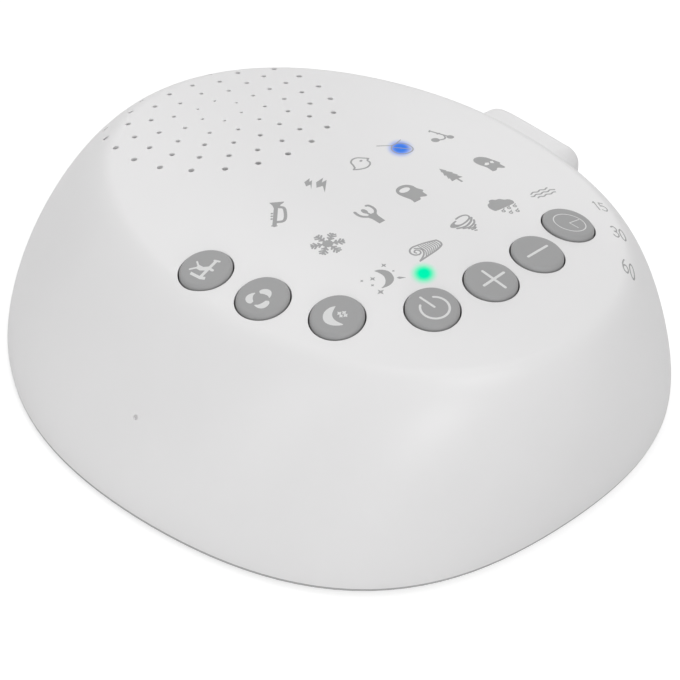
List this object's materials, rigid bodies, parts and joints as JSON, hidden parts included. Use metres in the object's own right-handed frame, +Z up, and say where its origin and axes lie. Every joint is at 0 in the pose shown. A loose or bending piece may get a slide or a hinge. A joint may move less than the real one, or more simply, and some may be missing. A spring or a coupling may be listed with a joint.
{
  "type": "white noise machine",
  "caption": "Domed bedside sound machine: round keys and printed marks on a leaning crown, a drilled grille over a small loudspeaker, and a side pod for the sockets.",
  "frame": {"origin": "on the table under the middle of the case's outline", "axes": "+Z up, -Y towards the user's side with the keys, +X towards the socket pod"},
  "size_m": [0.142, 0.1462, 0.0489],
  "materials": {
    "white_shell": "satin white moulding",
    "base_plastic": "fine grain",
    "foot_rubber": "matt",
    "screw_steel": "zinc plated",
    "key_grey": "soft matt grey",
    "stem_plastic": "moulded black",
    "switch_steel": "bright stamped sheet",
    "board_green": "green solder mask",
    "blue_light": "clear chip",
    "green_light": "clear chip",
    "clear_guide": "clear acrylic",
    "chip_black": "moulded black",
    "capacitor_sleeve": "shrink sleeve",
    "connector_ivory": "nylon",
    "speaker_steel": "black zinc",
    "magnet_ferrite": "sintered ferrite",
    "coil_copper": "enamelled copper",
    "spider_cloth": "impregnated cloth",
    "cone_paper": "pressed paper",
    "surround_rubber": "soft rubber",
    "foam": "closed-cell foam",
    "dust_cloth": "fine open weave",
    "lead_sleeve": "coated wire"
  },
  "bodies": {
    "case": {"top_shell": "white_shell", "bottom_cover": "base_plastic", "rubber_feet": "foot_rubber", "case_screws": "screw_steel", "switch_bodies": "stem_plastic", "switch_covers": "switch_steel", "control_board": "board_green", "board_screws": "screw_steel", "sound_lights": "blue_light", "power_light": "green_light", "timer_lights": "green_light", "mark_light_guide": "clear_guide", "single_light_guides": "clear_guide", "control_chip": "chip_black", "sound_memory_chip": "chip_black", "amplifier_chip": "chip_black", "capacitors": "capacitor_sleeve", "speaker_connector": "connector_ivory", "power_connector": "connector_ivory", "speaker_frame": "speaker_steel", "speaker_top_plate": "speaker_steel", "speaker_magnet": "magnet_ferrite", "speaker_yoke": "speaker_steel", "speaker_coil": "coil_copper", "speaker_spider": "spider_cloth", "speaker_cone": "cone_paper", "speaker_surround": "surround_rubber", "speaker_dust_cap": "cone_paper", "speaker_terminals": "chip_black", "speaker_gasket": "foam", "dust_cloth": "dust_cloth", "speaker_washers": "screw_steel", "speaker_screws": "screw_steel", "socket_board": "board_green", "socket_board_screws": "screw_steel", "audio_socket": "chip_black", "power_socket": "switch_steel", "power_socket_tongue": "chip_black", "socket_connector": "connector_ivory", "speaker_leads": "lead_sleeve", "power_leads": "lead_sleeve"},
    "key_lullaby": {"button_lullaby": "key_grey", "stem_lullaby": "stem_plastic"},
    "key_fan": {"button_fan": "key_grey", "stem_fan": "stem_plastic"},
    "key_night": {"button_night": "key_grey", "stem_night": "stem_plastic"},
    "key_power": {"button_power": "key_grey", "stem_power": "stem_plastic"},
    "key_volume_up": {"button_volume_up": "key_grey", "stem_volume_up": "stem_plastic"},
    "key_volume_down": {"button_volume_down": "key_grey", "stem_volume_down": "stem_plastic"},
    "key_timer": {"button_timer": "key_grey", "stem_timer": "stem_plastic"}
  },
  "joints": [
    {"name": "lullaby_press", "type": "slide", "parent": "case", "child": "key_lullaby", "axis": [0, 0.1461, 0.9893], "range_m": [-0.0008, 0], "stiffness_N_per_m": 1500},
    {"name": "fan_press", "type": "slide", "parent": "case", "child": "key_fan", "axis": [0, 0.1461, 0.9893], "range_m": [-0.0008, 0], "stiffness_N_per_m": 1500},
    {"name": "night_press", "type": "slide", "parent": "case", "child": "key_night", "axis": [0, 0.1461, 0.9893], "range_m": [-0.0008, 0], "stiffness_N_per_m": 1500},
    {"name": "power_press", "type": "slide", "parent": "case", "child": "key_power", "axis": [0, 0.1461, 0.9893], "range_m": [-0.0008, 0], "stiffness_N_per_m": 1500},
    {"name": "volume_up_press", "type": "slide", "parent": "case", "child": "key_volume_up", "axis": [0, 0.1461, 0.9893], "range_m": [-0.0008, 0], "stiffness_N_per_m": 1500},
    {"name": "volume_down_press", "type": "slide", "parent": "case", "child": "key_volume_down", "axis": [0, 0.1461, 0.9893], "range_m": [-0.0008, 0], "stiffness_N_per_m": 1500},
    {"name": "timer_press", "type": "slide", "parent": "case", "child": "key_timer", "axis": [0, 0.1461, 0.9893], "range_m": [-0.0008, 0], "stiffness_N_per_m": 1500}
  ]
}
